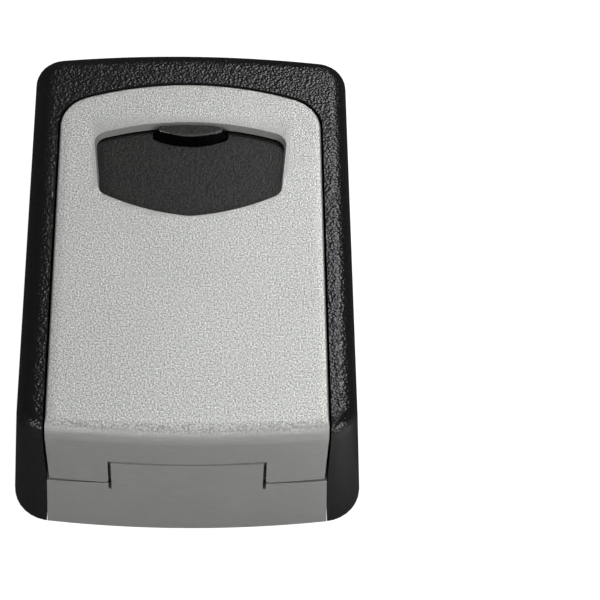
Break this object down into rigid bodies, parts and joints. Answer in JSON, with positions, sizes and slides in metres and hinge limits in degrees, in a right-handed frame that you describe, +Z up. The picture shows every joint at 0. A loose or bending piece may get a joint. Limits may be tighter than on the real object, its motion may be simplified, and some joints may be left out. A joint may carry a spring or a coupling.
{
  "type": "combination key safe",
  "caption": "Wall-mounted combination key safe: a deep textured case whose bottom-hinged front door carries number dials, a sliding shutter and a sprung release latch.",
  "frame": {"origin": "middle of the case's back face, which lies on the wall", "axes": "+X right, +Y into the wall, +Z up; the door faces -Y"},
  "size_m": [0.085, 0.0402, 0.12],
  "materials": {
    "case_black": "fine textured powder coat on die-cast zinc",
    "door_grey": "hammer-fine silver grey coat on die-cast zinc",
    "moulded_black": "matt moulded plastic",
    "shutter_charcoal": "matt moulded plastic",
    "button_black": "semi-gloss moulded plastic",
    "dial_black": "black moulded wheel with white numerals",
    "steel": "zinc plated steel",
    "spring_brass": "turned or rolled brass"
  },
  "bodies": {
    "case": {"case_shell": "case_black", "hinge_block": "door_grey", "hinge_pin": "steel", "block_screws": "steel"},
    "door": {"door_panel": "door_grey", "dial_carrier": "moulded_black", "dial_shaft": "steel", "detent_spring": "spring_brass", "inner_cover": "moulded_black", "cover_screws": "steel", "release_springs": "steel"},
    "shutter": {"shutter": "shutter_charcoal"},
    "release": {"release_button": "button_black", "latch_plate": "steel"},
    "code_change": {"code_change_lever": "steel"},
    "dial_1": {"dial_1": "dial_black"},
    "sleeve_1": {"code_sleeve_1": "spring_brass"},
    "dial_2": {"dial_2": "dial_black"},
    "sleeve_2": {"code_sleeve_2": "spring_brass"},
    "dial_3": {"dial_3": "dial_black"},
    "sleeve_3": {"code_sleeve_3": "spring_brass"},
    "dial_4": {"dial_4": "dial_black"},
    "sleeve_4": {"code_sleeve_4": "spring_brass"}
  },
  "joints": [
    {"name": "door_hinge", "type": "hinge", "parent": "case", "child": "door", "pos_m": [0, -0.02415, -0.05469], "axis": [1, 0, 0], "range_deg": [0, 90]},
    {"name": "shutter_slide", "type": "slide", "parent": "door", "child": "shutter", "axis": [0, 0, -1], "range_m": [0, 0.0215]},
    {"name": "release_press", "type": "slide", "parent": "door", "child": "release", "axis": [0, 0, -1], "range_m": [0, 0.0037], "stiffness_N_per_m": 500, "springref_m": -0.001, "deforming": ["release_springs"]},
    {"name": "code_change_slide", "type": "slide", "parent": "door", "child": "code_change", "axis": [-1, 0, 0], "range_m": [0, 0.002]},
    {"name": "dial_1_spin", "type": "hinge", "parent": "door", "child": "dial_1", "pos_m": [-0.0153, -0.0287, 0.019], "axis": [1, 0, 0], "continuous": true},
    {"name": "dial_2_spin", "type": "hinge", "parent": "door", "child": "dial_2", "pos_m": [-0.0051, -0.0287, 0.019], "axis": [1, 0, 0], "continuous": true},
    {"name": "dial_3_spin", "type": "hinge", "parent": "door", "child": "dial_3", "pos_m": [0.0051, -0.0287, 0.019], "axis": [1, 0, 0], "continuous": true},
    {"name": "dial_4_spin", "type": "hinge", "parent": "door", "child": "dial_4", "pos_m": [0.0153, -0.0287, 0.019], "axis": [1, 0, 0], "continuous": true},
    {"name": "sleeve_1_spin", "type": "hinge", "parent": "code_change", "child": "sleeve_1", "pos_m": [-0.0153, -0.0287, 0.019], "axis": [1, 0, 0], "continuous": true},
    {"name": "sleeve_2_spin", "type": "hinge", "parent": "code_change", "child": "sleeve_2", "pos_m": [-0.0051, -0.0287, 0.019], "axis": [1, 0, 0], "continuous": true},
    {"name": "sleeve_3_spin", "type": "hinge", "parent": "code_change", "child": "sleeve_3", "pos_m": [0.0051, -0.0287, 0.019], "axis": [1, 0, 0], "continuous": true},
    {"name": "sleeve_4_spin", "type": "hinge", "parent": "code_change", "child": "sleeve_4", "pos_m": [0.0153, -0.0287, 0.019], "axis": [1, 0, 0], "continuous": true}
  ],
  "couplings": [
    {"joint": "sleeve_1_spin", "follows": "dial_1_spin", "ratio": 1},
    {"joint": "sleeve_2_spin", "follows": "dial_2_spin", "ratio": 1},
    {"joint": "sleeve_3_spin", "follows": "dial_3_spin", "ratio": 1},
    {"joint": "sleeve_4_spin", "follows": "dial_4_spin", "ratio": 1}
  ]
}
